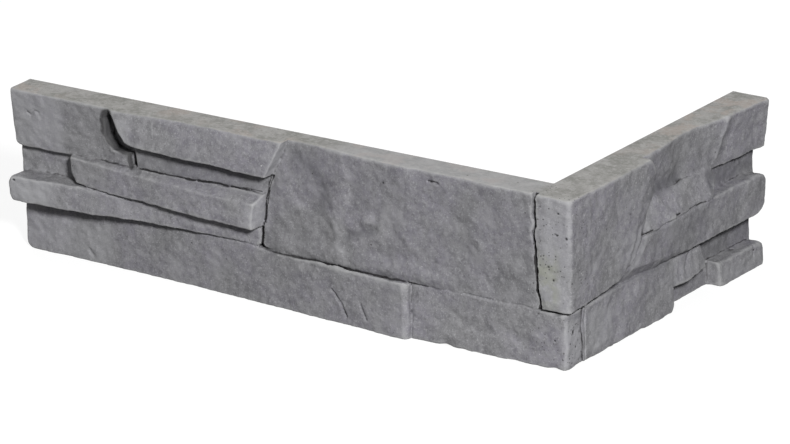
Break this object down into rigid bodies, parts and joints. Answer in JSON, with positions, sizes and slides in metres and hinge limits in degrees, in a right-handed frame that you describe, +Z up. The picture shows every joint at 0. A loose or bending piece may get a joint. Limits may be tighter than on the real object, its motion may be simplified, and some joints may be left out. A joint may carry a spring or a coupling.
{
  "type": "stone cladding corner piece",
  "caption": "Outside corner piece of dry-stack wall cladding: an L of grey cast concrete with stones of uneven depth in three courses.",
  "frame": {"origin": "the foot of the inner corner, where both flat backs meet the bed face", "axes": "+Z up; +Y is the outward normal of the long leg's back, -X that of the short leg's back; the long leg runs along -X and the short leg along +Y"},
  "size_m": [0.3785, 0.219, 0.1],
  "materials": {
    "concrete": "matt cast concrete, mid grey with lighter worn edges"
  },
  "bodies": {
    "root": {"cladding_corner": "concrete"}
  },
  "joints": []
}
